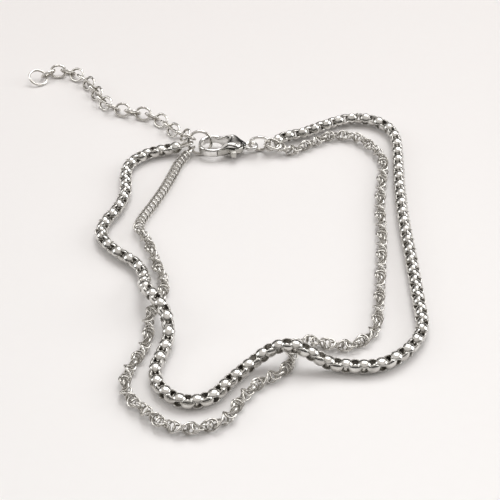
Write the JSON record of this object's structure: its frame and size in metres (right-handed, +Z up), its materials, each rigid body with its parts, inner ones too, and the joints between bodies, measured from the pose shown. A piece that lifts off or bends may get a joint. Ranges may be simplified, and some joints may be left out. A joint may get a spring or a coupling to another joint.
{
  "type": "two-strand chain anklet",
  "caption": "Two-strand metal anklet: a thick box chain and a fine twisted chain joined by a sprung lobster clasp, with a short oval-link extender.",
  "frame": {"origin": "on the table, under the middle of the whole anklet's box", "axes": "+Z up from the table it lies on; +Y from the front of the loop towards the clasp and extender; +X from the hook of the clasp towards its eye"},
  "size_m": [0.0806, 0.1154, 0.0054],
  "materials": {
    "box_strand": "polished silver",
    "twist_strand": "polished silver with bright cut facets",
    "findings": "polished silver",
    "lever": "polished silver, slightly worn"
  },
  "bodies": {
    "anklet": {"box_chain": "box_strand", "twist_chain": "twist_strand", "clasp_jump_ring": "findings", "tail_jump_ring": "findings", "extender_link_01": "findings", "extender_link_02": "findings", "extender_link_03": "findings", "extender_link_04": "findings", "extender_link_05": "findings", "extender_link_06": "findings", "extender_link_07": "findings", "extender_link_08": "findings", "extender_link_09": "findings", "extender_link_10": "findings", "extender_link_11": "findings", "extender_link_12": "findings", "extender_link_13": "findings", "extender_link_14": "findings", "extender_link_15": "findings", "extender_link_16": "findings", "extender_link_17": "findings", "extender_link_18": "findings", "extender_link_19": "findings", "extender_link_20": "findings", "extender_link_21": "findings", "extender_end_ring": "findings", "clasp_body": "findings"},
    "lever": {"clasp_lever": "lever"}
  },
  "joints": [
    {"name": "lever_hinge", "type": "hinge", "parent": "anklet", "child": "lever", "pos_m": [0.00617, 0.02428, 0.00175], "axis": [0, 0, -1], "range_deg": [0, 24], "stiffness_Nm_per_rad": 0.002, "springref_deg": -20.05}
  ]
}
